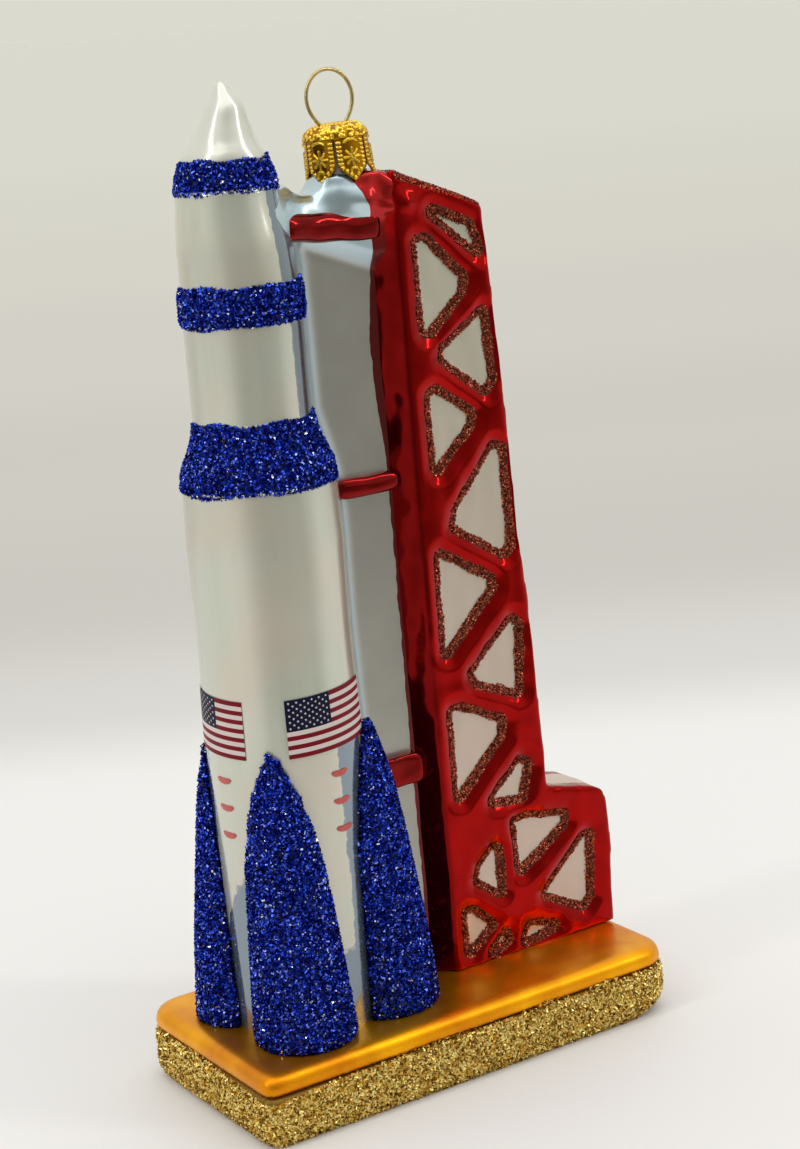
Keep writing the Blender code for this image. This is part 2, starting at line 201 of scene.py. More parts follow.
# Rocket stages and nose
# Four lengths of the blown shell, silvered inside and sprayed with pearl lacquer outside. The
# joints between them lie under the glitter bands, and the wall is a little lumpy, as blown glass is.
ROCKET_STEPS = 192
ROW = 0.9 * MM


def points_of(mesh):
    points = np.empty(len(mesh.vertices) * 3)
    mesh.vertices.foreach_get("co", points)
    return points.reshape(-1, 3)


def put_points(mesh, points):
    mesh.vertices.foreach_set("co", points.ravel())
    mesh.update()


# A value for each point of a mesh, for its finish to read
def carry(mesh, name, values, domain="POINT"):
    mesh.attributes.new(name, "FLOAT", domain).data.foreach_set("value", values)


def carried(tree, name):
    return add_node(tree, "Attribute", {}, attribute_name=name).outputs["Fac"]


# Soft patches of about the size given, from 0 to 1
def mottle(tree, size, detail=2.0):
    place = add_node(tree, "TexCoord", {}).outputs["Object"]
    inputs = {"Vector": place, "Scale": 1 / size, "Detail": detail}
    return add_node(tree, "TexNoise", inputs).outputs["Fac"]


# Long shallow waves in blown glass: seven of them, summed to about one either way
WAVES = 7


def ripple(points, length, seed):
    rng = np.random.default_rng(seed)
    total = np.zeros(len(points))
    for _ in range(WAVES):
        way = rng.normal(size=3)
        way *= 2 * math.pi * rng.uniform(0.7, 1.4) / (length * np.linalg.norm(way))
        total += np.sin(points @ way + rng.uniform(0, 2 * math.pi))
    return total / WAVES ** 0.5


# Height, how far the blown rocket strays from its axis there, and what its radius gains, in mm;
# then the way that it strays
STRAY = np.array((
    (130, 0, 0), (137, -0.2, -0.2), (141, -0.5, -0.5), (145, -0.66, -0.66), (148.5, -0.72, -0.7),
    (149.7, -0.7, -0.5), (151.2, -0.33, -0.14), (153.2, 0, 0), (155.3, 0.2, 0.27), (157.2, 0.43, 0.55),
    (158.8, 0.2, 0.25), (160, 0, 0),
)) * MM
STRAY_WAY = (0.85, -0.527)


# The axis, heights and radii of one of the rocket's CAD solids
def profile_of(node):
    low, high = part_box(node)
    points = points_of(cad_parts[node].data)
    radii = np.hypot(points[:, 0] - (low.x + high.x) / 2, points[:, 1] - (low.y + high.y) / 2)
    heights = np.unique(points[:, 2].round(6))
    widest = [radii[abs(points[:, 2] - z) < 0.02 * MM].max() for z in heights]
    widest += np.interp(heights, STRAY[:, 0], STRAY[:, 2])
    return Vector(((low.x + high.x) / 2, (low.y + high.y) / 2)), heights, widest


# Faces between the rows of a grid of points whose columns may close into rings
def grid_faces(rows, columns, first, closed):
    faces = []
    for i in range(rows - 1):
        for j in range(columns if closed else columns - 1):
            after = (j + 1) % columns
            low, high = first + i * columns, first + (i + 1) * columns
            faces.append((low + j, high + j, high + after, low + after))
    return faces


# A closed turned mesh; radii follow a profile that is eased over a short length
def turned_mesh(name, axis, heights, radii, low, high, ease, row=ROW):
    rows = np.linspace(low, high, max(3, round((high - low) / row)) + 1)
    spread = np.linspace(-1, 1, 9) * ease
    radius = np.mean([np.interp(rows + offset, heights, radii) for offset in spread], axis=0)
    angles = np.linspace(0, 2 * math.pi, ROCKET_STEPS, endpoint=False)
    points = np.empty((len(rows), ROCKET_STEPS, 3))
    stray = np.interp(rows, STRAY[:, 0], STRAY[:, 1])[:, None]
    points[..., 0] = axis.x + radius[:, None] * np.cos(angles) + stray * STRAY_WAY[0]
    points[..., 1] = axis.y + radius[:, None] * np.sin(angles) + stray * STRAY_WAY[1]
    points[..., 2] = rows[:, None]
    ends = [(axis.x, axis.y, low), (axis.x, axis.y, high)]
    faces = [(a, d, c, b) for a, b, c, d in grid_faces(len(rows), ROCKET_STEPS, 0, True)]
    last = (len(rows) - 1) * ROCKET_STEPS
    foot, tip = last + ROCKET_STEPS, last + ROCKET_STEPS + 1
    around = [(j, (j + 1) % ROCKET_STEPS) for j in range(ROCKET_STEPS)]
    faces += [(after, j, foot) for j, after in around]
    faces += [(last + j, last + after, tip) for j, after in around]
    mesh = bpy.data.meshes.new(name)
    mesh.from_pydata(np.concatenate((points.reshape(-1, 3), ends)).tolist(), [], faces)
    mesh.shade_smooth()
    return mesh


# Pearl lacquer sprayed over silvered glass: milky, half metallic, with soft upright streaks
# where the spray is thin, and a hard clear gloss on top
STREAK_WIDTH = 2.5 * MM
STREAK_LENGTH = 60 * MM
pearl, tree, shader = new_finish("pearl_lacquer_on_silvered_glass", Coat_Weight=0.8, Coat_Roughness=0.03)
place = add_node(tree, "TexCoord", {}).outputs["Object"]
stretch = (1 / STREAK_WIDTH, 1 / STREAK_WIDTH, 1 / STREAK_LENGTH)
streaked = add_node(tree, "Mapping", {"Vector": place, "Scale": stretch}).outputs["Vector"]
streaks = add_node(tree, "TexNoise", {"Vector": streaked, "Scale": 1.0, "Detail": 2.0}).outputs["Fac"]
milk = mixed(tree, streaks, "#C0C6B7", "#D6D7C9")
warm = ranged(tree, mottle(tree, 14 * MM, 1.0), (0.4, 0.75))
milk = mixed(tree, warm, milk, "#D3CABB")
milk = mixed(tree, carried(tree, "cream"), milk, "#DADACE")
ragged_strip = maths(tree, "ADD", carried(tree, "bare_strip"), mottle(tree, 1.6 * MM))
bare = ranged(tree, ragged_strip, (0.45, 0.65))
tree.links.new(mixed(tree, bare, milk, "#82909C"), shader.inputs["Base Color"])
tree.links.new(ranged(tree, bare, to=(0.45, 0.75)), shader.inputs["Metallic"])
tree.links.new(ranged(tree, bare, to=(0.22, 0.16)), shader.inputs["Roughness"])
flow = add_node(tree, "Bump", {"Height": streaks, "Strength": 0.06, "Distance": 0.1 * MM}).outputs["Normal"]
tree.links.new(flow, shader.inputs["Normal"])

# Plan angles and half widths of the strips left silver beside the fins and beside the web, and
# the angle over which a strip fades
STRIP_FADE = 6
BARE = {
    "main_stage": ((295, 14), (158, 12), (20, 12), (80, 10)),
    "middle_stage": ((0, 69),),
    "upper_stage": ((0, 76),),
    "nose_cone": (),
}
# The silver foot of the main stage: its height, and how it rises towards the left rear
BARE_FOOT = 25 * MM
BARE_RISE = 13 * MM
BARE_RISE_ANGLE = 200
BARE_RISE_SPREAD = 25
FOOT_FADE = 4 * MM
FIN_TIPS = 60 * MM
NOSE_TIP_RADIUS = 0.25 * MM
# node, name, overlap below and above, lumps, length of a lump and easing of edges, in mm
for node, name, below, above, lump, length, ease in (
    ("main_stage", "main_stage_shell", 1.5, 0.6, 0.06, 40, 1.0),
    ("middle_stage", "middle_stage_shell", 0.6, 0.6, 0.05, 30, 1.0),
    ("upper_stage", "upper_stage_shell", 0.6, 0.6, 0.05, 26, 1.0),
    ("nose_cone", "nose_shell", 0.6, 0.15, 0.15, 8, 0.5),
):
    axis, heights, radii = profile_of(node)
    low = heights[0] - below * MM
    high = heights[-1] + above * MM
    if node == "nose_cone":
        heights = np.append(heights, high)
        radii = np.append(radii, NOSE_TIP_RADIUS)
    mesh = turned_mesh(name, axis, heights, radii, low, high, ease * MM)
    points = points_of(mesh)
    out = points[:, :2] - np.array(axis)
    grow = 1 + ripple(points, length * MM, len(name)) * lump * MM / np.maximum(np.hypot(*out.T), 2 * MM)
    points[:, :2] = np.array(axis) + out * grow[:, None]
    put_points(mesh, points)
    strips = np.full(len(points), -1.0)
    angle = np.degrees(np.arctan2(out[:, 1], out[:, 0])) % 360
    for middle, half in BARE[node]:
        off = abs((angle - middle + 180) % 360 - 180)
        strips = np.maximum(strips, (half - off) / STRIP_FADE)
    if node == "main_stage":
        rise = np.exp(-((angle - BARE_RISE_ANGLE) / BARE_RISE_SPREAD) ** 2)
        foot = (BARE_FOOT + BARE_RISE * rise - points[:, 2]) / FOOT_FADE
        strips = np.maximum(strips, np.clip(foot, -1, 1))
        strips[points[:, 2] > FIN_TIPS] = -1
    carry(mesh, "bare_strip", np.clip(strips, -1, 1))
    carry(mesh, "cream", np.full(len(points), float(node == "nose_cone")))
    shell = add_piece(name, mesh, pearl)
    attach(shell, "ornament")
    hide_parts(node)

# Glitter bands
# Three rings of glue round the rocket, each strewn with blue glitter while it was wet. Their
# edges wander, and the flakes stand out from the glue at every angle.

# Long and wide side of a flake, and how far it leans
BLUE_FLAKE = (0.43 * MM, 0.25 * MM, 0.75)
BLUE_PER_MM2 = 22


def normals_of(mesh):
    normals = np.empty(len(mesh.vertices) * 3)
    mesh.vertex_normals.foreach_get("vector", normals)
    return normals.reshape(-1, 3)


# Points spread evenly over a mesh, and the surface's way out at each
def strew(mesh, per_mm2, rng):
    mesh.calc_loop_triangles()
    corners = np.empty(len(mesh.loop_triangles) * 3, int)
    mesh.loop_triangles.foreach_get("vertices", corners)
    corners = corners.reshape(-1, 3)
    points = points_of(mesh)
    first, second, third = (points[corners[:, i]] for i in range(3))
    area = np.linalg.norm(np.cross(second - first, third - first), axis=1) / 2
    count = int(per_mm2 * area.sum() / MM ** 2)
    picked = corners[rng.choice(len(area), count, p=area / area.sum())]
    share = rng.dirichlet((1, 1, 1), count)[..., None]
    return (points[picked] * share).sum(1), (normals_of(mesh)[picked] * share).sum(1)


# Flat flakes, each leaning its own way, with a random tint for their finish
def add_flakes(name, finish, points, normals, flake, lift, rng):
    long_side, wide_side, lean = flake
    count = len(points)
    ways = normals + rng.normal(scale=lean, size=(count, 3))
    ways /= np.linalg.norm(ways, axis=1)[:, None]
    endways = np.cross(ways, rng.normal(size=(count, 3)))
    endways /= np.linalg.norm(endways, axis=1)[:, None]
    across = np.cross(ways, endways) * wide_side / 2
    endways *= long_side / 2 * rng.uniform(0.6, 1.3, (count, 1))
    middles = points + normals * lift * rng.random((count, 1))
    near, far = middles - across, middles + across
    corners = np.stack((near - endways, near + endways, far + endways, far - endways), 1)
    mesh = bpy.data.meshes.new(name)
    mesh.from_pydata(corners.reshape(-1, 3), [], np.arange(4 * count).reshape(-1, 4))
    carry(mesh, "tint", rng.random(count), "FACE")
    return add_piece(name, mesh, finish)


# A finish mottled between two tones in patches of the size given
def mottled_finish(name, size, first, second, detail=2.0, **sockets):
    made, tree, shader = new_finish(name, **sockets)
    tree.links.new(mixed(tree, mottle(tree, size, detail), first, second), shader.inputs["Base Color"])
    return made


# Cut foil flakes: each has the tone of its tint, and the paler ones are glossier
def foil_finish(name, metallic, tones, dull, glossy):
    made, tree, shader = new_finish(name, Metallic=metallic)
    tint = carried(tree, "tint")
    tree.links.new(ramp(tree, tint, tones), shader.inputs["Base Color"])
    tree.links.new(ranged(tree, tint, to=(dull, glossy)), shader.inputs["Roughness"])
    return made


# Wet glue stained by the flakes in it: nearly black blue, half gloss
blue_glue = mottled_finish(
    "blue_glue_bed", 0.5 * MM, "#03063C", "#08126E", Roughness=0.5, Coat_Weight=0.15, Specular_IOR_Level=0.25
)
# Foil lacquered blue: metal under a clear film, so most gleam blue and a few flash white
BLUE_TONES = (
    (0, "#000044"), (0.35, "#04187E"), (0.65, "#2044CC"), (0.88, "#4866F0"), (0.97, "#90A8FF"),
    (1, "#FFFFFF"),
)
blue_foil = foil_finish("blue_lacquered_foil_flakes", 1.0, BLUE_TONES, 0.45, 0.2)

# How far a band reaches past its solid, how far its glue lies under the flakes, how far it
# laps the shell at its edges, and the radius on which its edges wander
BAND_PAST = 0.3 * MM
GLUE_UNDER = 0.38 * MM
BAND_LAP = 0.05 * MM
WANDER_RADIUS = 9 * MM
# node, name, how far its lower and upper edges wander and the shell's radii there, all in mm
for node, word, low_wave, high_wave, edges in (
    ("lower_glitter_band", "lower_band", 0.35, 0.3, (12.1, 9.3)),
    ("middle_glitter_band", "middle_band", 0.25, 0.2, (9.3, 9.2)),
    ("upper_glitter_band", "upper_band", 0.25, 0.2, (8.4, 7.3)),
):
    axis, heights, radii = profile_of(node)
    low = heights[0] - BAND_PAST
    high = heights[-1] + BAND_PAST
    thin = np.full(len(radii), GLUE_UNDER)
    edges = np.array(edges) * MM + np.interp((low, high), STRAY[:, 0], STRAY[:, 2])
    thin[[0, -1]] = radii[[0, -1]] - edges - BAND_LAP
    mesh = turned_mesh(word + "_glue", axis, heights, radii - thin, low, high, 0.4 * MM, row=0.5 * MM)
    points = points_of(mesh)
    out = points[:, :2] - np.array(axis)
    around = np.zeros((len(out), 3))
    around[:, :2] = out / np.hypot(*out.T).clip(1e-6)[:, None] * WANDER_RADIUS
    level_share = ((points[:, 2] - low) / (high - low)).clip(0, 1)
    points[:, 2] += ripple(around, 11 * MM, 3) * low_wave * MM * (1 - level_share)
    points[:, 2] += ripple(around, 8 * MM, 4) * high_wave * MM * level_share
    put_points(mesh, points)
    glue = add_piece(word + "_glue", mesh, blue_glue)
    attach(glue, "ornament")
    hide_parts(node)
    rng = np.random.default_rng(11)
    points, normals = strew(mesh, BLUE_PER_MM2, rng)
    shown = np.hypot(points[:, 0] - axis.x, points[:, 1] - axis.y) > radii.min() * 0.8
    name = word + "_flakes"
    strewn = add_flakes(name, blue_foil, points[shown], normals[shown], BLUE_FLAKE, 0.22 * MM, rng)
    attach(strewn, "ornament")

# Fins
# Four leaning cones of the same shell, glued all over and rolled in the same blue glitter, so
# that their outline is rough with flakes from tip to foot.


# Copies of CAD solids, swollen over their small gaps and blended into one even skin
def skin_mesh(name, nodes, swell, voxel, rounds, more=None):
    joined = more or bmesh.new()
    for node in nodes:
        joined.from_mesh(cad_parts[node].data)
    bmesh.ops.remove_doubles(joined, verts=joined.verts, dist=0.001 * MM)
    joined.normal_update()
    for vert in joined.verts:
        vert.co += vert.normal * swell
    return blended(name, joined, voxel, rounds)


def mesh_from(name, joined):
    mesh = bpy.data.meshes.new(name)
    joined.to_mesh(mesh)
    joined.free()
    return mesh


# Closed forms made into one skin of even cells, and softened in rounds
def blended(name, joined, voxel, rounds):
    raw = add_piece(name, mesh_from(name, joined), None)
    remesh = raw.modifiers.new("even", "REMESH")
    remesh.mode = "VOXEL"
    remesh.voxel_size = voxel
    soften = raw.modifiers.new("soft", "SMOOTH")
    soften.factor = 0.5
    soften.iterations = rounds
    bpy.context.view_layer.update()
    made = bpy.data.meshes.new_from_object(raw.evaluated_get(bpy.context.evaluated_depsgraph_get()))
    bpy.data.objects.remove(raw)
    made.shade_smooth()
    return made


FINS_SEED = 20
FLAKES_FROM_Z = 12.0 * MM
stage_axis, stage_heights, stage_radii = profile_of("main_stage")
for seed, side in enumerate(("left_rear", "left_front", "right_front", "right_rear"), FINS_SEED):
    node = side + "_fin"
    mesh = skin_mesh(node + "_glue", [node], 0.05 * MM, 0.6 * MM, 4)
    glue = add_piece(node + "_glue", mesh, blue_glue)
    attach(glue, "ornament")
    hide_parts(node)
    rng = np.random.default_rng(seed)
    points, normals = strew(mesh, BLUE_PER_MM2, rng)
    reach = np.hypot(points[:, 0] - stage_axis.x, points[:, 1] - stage_axis.y)
    shown = (reach > stage_radii.max() + 0.05 * MM) & (points[:, 2] > FLAKES_FROM_Z)
    name = node + "_flakes"
    strewn = add_flakes(name, blue_foil, points[shown], normals[shown], BLUE_FLAKE, 0.25 * MM, rng)
    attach(strewn, "ornament")

# Web and neck
# The thin fold of glass that joins rocket and tower, and the hill below the neck that rises from
# it. It is only silvered, with a breath of blue, and it flows smoothly into the rocket and the head.
SILVERED_NODES = ["lower_web", "middle_web", "upper_web", "web_saddle"]


def height_of(tree):
    place = add_node(tree, "TexCoord", {}).outputs["Object"]
    return add_node(tree, "SeparateXYZ", {"Vector": place}).outputs["Z"]


# Silver mirrored inside the glass and seen through its matt side: soft grey metal, with pale
# blue at the bends, partly where the silver thins and partly a painted reflection of the sky
silver, tree, shader = new_finish(
    "silvered_glass_satin", Metallic=0.85, Coat_Weight=0.35, Coat_Roughness=0.12
)
bend_painted_reflection = carried(tree, "bend_painted_reflection")
tone = mixed(tree, mottle(tree, 9 * MM), "#9C9A92", "#B2B0A8")
# Painted reflection: the bends take a pale sky blue
tone = mixed(tree, bend_painted_reflection, tone, "#C2D6DE")
ragged_edge = maths(tree, "ADD", carried(tree, "painted"), mottle(tree, 3 * MM, 1.0))
painted = ranged(tree, ragged_edge, (1.47, 1.53))
height = height_of(tree)
# Painted shade: the red that runs onto the web is darker below the head
red = mixed(tree, ranged(tree, height, (132 * MM, 138 * MM)), "#600302", "#AE0806")
tree.links.new(mixed(tree, painted, tone, red), shader.inputs["Base Color"])
rough = ranged(tree, painted, to=(0.34, 0.25))
sheen = ranged(tree, height, (130 * MM, 138 * MM), (0.16, -0.1))
rough = add_node(tree, "Math", {0: bend_painted_reflection, 1: sheen, 2: rough}, operation="MULTIPLY_ADD").outputs["Value"]
tree.links.new(rough, shader.inputs["Roughness"])

mast_low, mast_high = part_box("tower_mast")
profiles = [profile_of(node)[1:] for node in ("main_stage", "middle_stage", "upper_stage")]
core_heights, core_radii = np.concatenate(profiles, axis=1)
WEB_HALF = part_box("middle_web")[1].y + 0.1 * MM
# The fold grows thicker under the upper arm and thinner again above it
THICKER = 1.9 * MM
THICKER_OVER = 4 * MM
THINNER = 1.2 * MM
THINNER_FROM = 139 * MM
# Half width of the hill across, by height in mm, and how much narrower it is from front to rear
HILL = (
    (129, 0), (134, 5.5), (137, 7.2), (139.5, 7.3), (141.2, 6.9), (142.4, 6.0), (143.2, 4.95),
    (143.6, 4.75), (144.4, 4.5), (145.2, 4.35),
)
PINCH = ((137 * MM, 1.7), (139.5 * MM, 1.3), (141.5 * MM, 1.18), (143.4 * MM, 1.0))
# Half depth of the red head beside the hill, by how far across it is in mm, and where it starts
HEAD_HALF = ((2.6, 4.8), (4.5, 5.5), (6.0, 5.8), (7.5, 5.5), (9.0, 4.9))
HEAD_FROM_X = 2.6 * MM
HEAD_FROM_Z = 138.6 * MM
# Over what lengths they melt into each other, the fold by height in mm
FOLD_MELT = ((128, 2.5), (134, 3.0), (139, 5.0))
HILL_MELT = 1.5 * MM
HEAD_MELT = 3 * MM
# The skin's upper edge from the rocket over the saddle and the hill to the head: across, up in
# mm; how far down it is rounded, by across; and the edge of the tower's red paint: up, across
CREST = (
    (-11, 144.4), (-9, 143.1), (-6.9, 142.5), (-5.9, 142.7), (-4.8, 144.0), (-4.3, 145.2), (4.3, 145.2),
    (5.9, 144.9), (9.5, 143.2),
)
CREST_ROUNDING = ((-6.5, 2.5), (-4.8, 0.5), (4.6, 0.5), (6, 1.5))
PAINT_EDGE = ((100, 2.6), (107, 2.0), (116, 1.4), (124, 2.0), (130, 2.6), (138.3, 1.9), (145, -1.1))
PAINT_FADE = 0.8 * MM
WEB_FOOT = 11.5 * MM
WEB_DEEPEST = 12 * MM


# The smooth union of two distances, melted together over a length
def melt(first, second, over):
    share = np.clip(0.5 + 0.5 * (second - first) / over, 0, 1)
    return second * (1 - share) + first * share - over * share * (1 - share)


def smooth(share):
    share = np.clip(share, 0, 1)
    return share * share * (3 - 2 * share)


# What a table of pairs, all in mm, gives at a length
def graded(length, table):
    table = np.array(table) * MM
    return np.interp(length, table[:, 0], table[:, 1])


# Where the middle of the blown rocket lies across at a height
def rocket_centre(z):
    return stage_axis.x + np.interp(z, STRAY[:, 0], STRAY[:, 1]) * STRAY_WAY[0]


# Height at which the fold begins to thicken under the upper arm
def eaves_at(x):
    return graded(x, ((-10, 134), (2.7, 129)))


# Distance from rocket, fold, hill and head melted together, negative inside
def web_distance(x, y, z):
    rocket = np.hypot(x - rocket_centre(z), y) - np.interp(z, core_heights, core_radii - 0.3 * MM)
    fold = y - WEB_HALF - THICKER * smooth((z - eaves_at(x)) / THICKER_OVER)
    fold += THINNER * smooth((z - THINNER_FROM) / THICKER_OVER)
    hill = np.hypot(x, y * np.interp(z, *zip(*PINCH))) - graded(z, HILL)
    head = np.maximum(y - graded(x, HEAD_HALF), HEAD_FROM_X - x)
    head += 2 * np.clip(HEAD_FROM_Z - z, 0, 1)
    joined = melt(rocket, fold, graded(z, FOLD_MELT))
    return melt(melt(joined, hill, HILL_MELT), head, HEAD_MELT)


across = np.arange(stage_axis.x + 2 * MM, 9 * MM, 0.45 * MM)
across, share = np.meshgrid(across, np.linspace(0, 1, 290), indexing="ij")
crest = graded(across, CREST)
up = WEB_FOOT + share * (crest - WEB_FOOT)
near, far = np.zeros(across.shape), np.full(across.shape, WEB_DEEPEST)
for _ in range(22):
    middle = (near + far) / 2
    inside = web_distance(across, middle, up) < 0
    near, far = np.where(inside, middle, near), np.where(inside, far, middle)
near *= np.sqrt(1 - np.clip(1 - (crest - up) / graded(across, CREST_ROUNDING), 0, 1) ** 2)
sides = [np.stack((across, side * near, up), -1) for side in (-1, 1)]
rings = np.concatenate((sides[0], sides[1][:, ::-1]), axis=1)
columns = rings.shape[1]
faces = grid_faces(len(rings), columns, 0, True)
faces += [list(range(columns)), list(range((len(rings) - 1) * columns, len(rings) * columns))]
rough_mesh = bpy.data.meshes.new("web_rings")
rough_mesh.from_pydata(rings.reshape(-1, 3).tolist(), [], faces)
joined = bmesh.new()
joined.from_mesh(rough_mesh)
bmesh.ops.recalc_face_normals(joined, faces=joined.faces)
mesh = blended("web_skin", joined, 0.52 * MM, 5)
points = points_of(mesh)
upper = smooth((points[:, 2] - 137 * MM) / (3 * MM))
points += normals_of(mesh) * (ripple(points, 5 * MM, 9) * 0.16 * MM * upper)[:, None]
put_points(mesh, points)
reach = np.hypot(points[:, 0] - rocket_centre(points[:, 2]), points[:, 1])
clear_of_rocket = reach - np.interp(points[:, 2], core_heights, core_radii)
hidden = (points[:, 0] < stage_axis.x + 3 * MM) | (clear_of_rocket < -0.5 * MM)
# The bends by the rocket and under the arm, where a pale blue reflection is painted in
by_rocket = smooth(1 - (clear_of_rocket - 0.3 * MM) / (2.2 * MM))
under_arm = smooth((points[:, 2] - eaves_at(points[:, 0])) / (2 * MM))
painted = 1 + (points[:, 0] - graded(points[:, 2], PAINT_EDGE)) / PAINT_FADE
carry(mesh, "bend_painted_reflection", np.maximum(by_rocket, under_arm))
carry(mesh, "painted", np.clip(painted, 0, 2))
trimmed = bmesh.new()
trimmed.from_mesh(mesh)
gone = [vert for vert, out in zip(trimmed.verts, hidden) if out]
bmesh.ops.delete(trimmed, geom=gone, context="VERTS")
trimmed.to_mesh(mesh)
trimmed.free()
web = add_piece("web_skin", mesh, silver)
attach(web, "ornament")
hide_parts(*SILVERED_NODES)
# The bare neck under the cap is the same silvered glass
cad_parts["neck"].material_slots[0].material = silver

# Tower and annex
# The red launch tower: one lacquered skin with raised struts, white windows sunk between them,
# and white panels between the rails on its far side and on top of the annex.
TOWER_NODES = [
    "tower_mast", "tower_head", "tower_core", "annex_core", "tower_lattice_front",
    "tower_lattice_rear", "annex_lattice_front", "annex_lattice_rear",
]
ARM_NODES = ["upper_access_arm", "middle_access_arm", "lower_access_arm"]
# How deep the windows lie, and over what length the struts between them rise to a ridge
RELIEF = 1.5 * MM
RIDGE = 3.2 * MM
# The mast's near edge is rounded off over this length, but not up at the head
ROUND_OVER = 5.5 * MM
ROUNDED_OFF = 0.18
ROUND_UP_TO = 131 * MM
ROUND_FADE = 4 * MM
# The knuckle on the head: its middle across and up, how proud it stands and its radius
KNUCKLE = (7.9 * MM, 139.5 * MM)
KNUCKLE_PROUD = 0.8 * MM
KNUCKLE_RADIUS = 1.6 * MM
# How far the skin has to turn to the front or the rear to be a face with windows
STEEP = 0.35
# The white panels on top of the annex and down the far side, and the gap noted away from them
PANEL_HALF_MM = 3.4
ANNEX_X = 26.5 * MM
ANNEX_TOP = 40 * MM
FAR_SIDE_X = 20 * MM
NO_GAP_MM = 9.0


# Closed outlines, as across and up, of the holes and rim of a sheet's face at its lowest Y
def outlines_of(node):
    sheet = bmesh.new()
    sheet.from_mesh(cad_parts[node].data)
    bmesh.ops.remove_doubles(sheet, verts=sheet.verts, dist=0.01 * MM)
    sheet.normal_update()
    flat = [face for face in sheet.faces if face.normal.y < -0.9]
    after = {}
    for face in flat:
        for loop in face.loops:
            if not any(other in flat for other in loop.edge.link_faces if other != face):
                after[loop.vert] = loop.edge.other_vert(loop.vert)
    outlines = []
    while after:
        start = next(iter(after))
        outline = []
        while start in after:
            outline.append((start.co.x, start.co.z))
            start = after.pop(start)
        outlines.append(np.array(outline))
    sheet.free()
    return sorted(outlines, key=lambda outline: -np.ptp(outline, axis=0).sum())


# Distance from each point to the nearest outline, negative inside one
def gap_to(outlines, points):
    gap = np.full(len(points), 1.0)
    inside = np.zeros(len(points), bool)
    for outline in outlines:
        for start, end in zip(outline, np.roll(outline, -1, axis=0)):
            side = end - start
            share = np.clip((points - start) @ side / (side @ side), 0, 1)
            gap = np.minimum(gap, np.hypot(*(points - start - share[:, None] * side).T))
            if start[1] != end[1]:
                crossing = start[0] + (points[:, 1] - start[1]) * side[0] / side[1]
                inside ^= ((start[1] > points[:, 1]) != (end[1] > points[:, 1])) & (points[:, 0] < crossing)
    return np.where(inside, -gap, gap)


joined = bmesh.new()
windows = []
for node in ("tower_lattice_front", "annex_lattice_front"):
    rim, *holes = outlines_of(node)
    windows += holes
    rows = [[joined.verts.new((x, y, z)) for x, z in rim] for y in (mast_low.y, mast_high.y)]
    joined.faces.new(rows[0])
    joined.faces.new(reversed(rows[1]))
    for i in range(len(rim)):
        joined.faces.new((rows[0][i - 1], rows[1][i - 1], rows[1][i], rows[0][i]))
bmesh.ops.recalc_face_normals(joined, faces=joined.faces)
mesh = skin_mesh("tower_skin", ["tower_mast", "tower_head"], 0.3 * MM, 0.48 * MM, 7, joined)
points = points_of(mesh)
normals = normals_of(mesh)
gap = gap_to(windows, points[:, [0, 2]])
sheer = np.clip((abs(normals[:, 1]) - STEEP) / STEEP, 0, 1)
rise = np.clip(gap / RIDGE, 0, 1)
rise = 0.5 * rise + 0.5 * np.sin(rise * math.pi / 2)
inset = (points[:, 0] - mast_low.x) / ROUND_OVER + smooth((points[:, 2] - ROUND_UP_TO) / ROUND_FADE)
inset = np.clip(inset, 0, 1)
points[:, 1] *= 1 - ROUNDED_OFF * (1 - np.sqrt(1 - (1 - inset) ** 2))
from_knuckle = np.hypot(points[:, 0] - KNUCKLE[0], points[:, 2] - KNUCKLE[1])
drop = RELIEF * (1 - rise) - KNUCKLE_PROUD * np.exp(-(from_knuckle / KNUCKLE_RADIUS) ** 2)
points[:, 1] -= np.sign(points[:, 1]) * drop * sheer
streaky = ripple(points * (1, 1, 0.22), 3.6 * MM, 12) * 0.045 * MM
points += normals * streaky[:, None]
points += normals * (ripple(points, 14 * MM, 5) * 0.07 * MM + ripple(points, 5 * MM, 6) * 0.03 * MM)[:, None]
put_points(mesh, points)
upward = (normals[:, 2] > 0.6) & (points[:, 0] > ANNEX_X) & (points[:, 2] < ANNEX_TOP)
sideways = (normals[:, 0] > 0.6) & (points[:, 0] > FAR_SIDE_X)
# Painted shade: faces turned towards -X on the mast, below the head, are given a darker red
near_side_painted_shade = smooth((-normals[:, 0] - 0.1) / 0.35) * (points[:, 0] < 8 * MM)
near_side_painted_shade *= smooth((137 * MM - points[:, 2]) / (5 * MM))
carry(mesh, "near_side_painted_shade", near_side_painted_shade)
carry(mesh, "window_gap", np.where(abs(normals[:, 1]) > STEEP, gap / MM, NO_GAP_MM))
carry(mesh, "panel_gap", np.where(upward | sideways, abs(points[:, 1]) / MM - PANEL_HALF_MM, NO_GAP_MM))

# Clear red lacquer over silver: the mirror under it makes it glow like boiled sugar, and turn
# nearly black where it reflects something dark
red_lacquer, tree, shader = new_finish(
    "red_lacquer_on_silvered_glass", Coat_Weight=0.04, Coat_Roughness=0.02, Specular_IOR_Level=0.3
)
candy = mixed(tree, mottle(tree, 6 * MM, 1.0), "#860202", "#B20804")
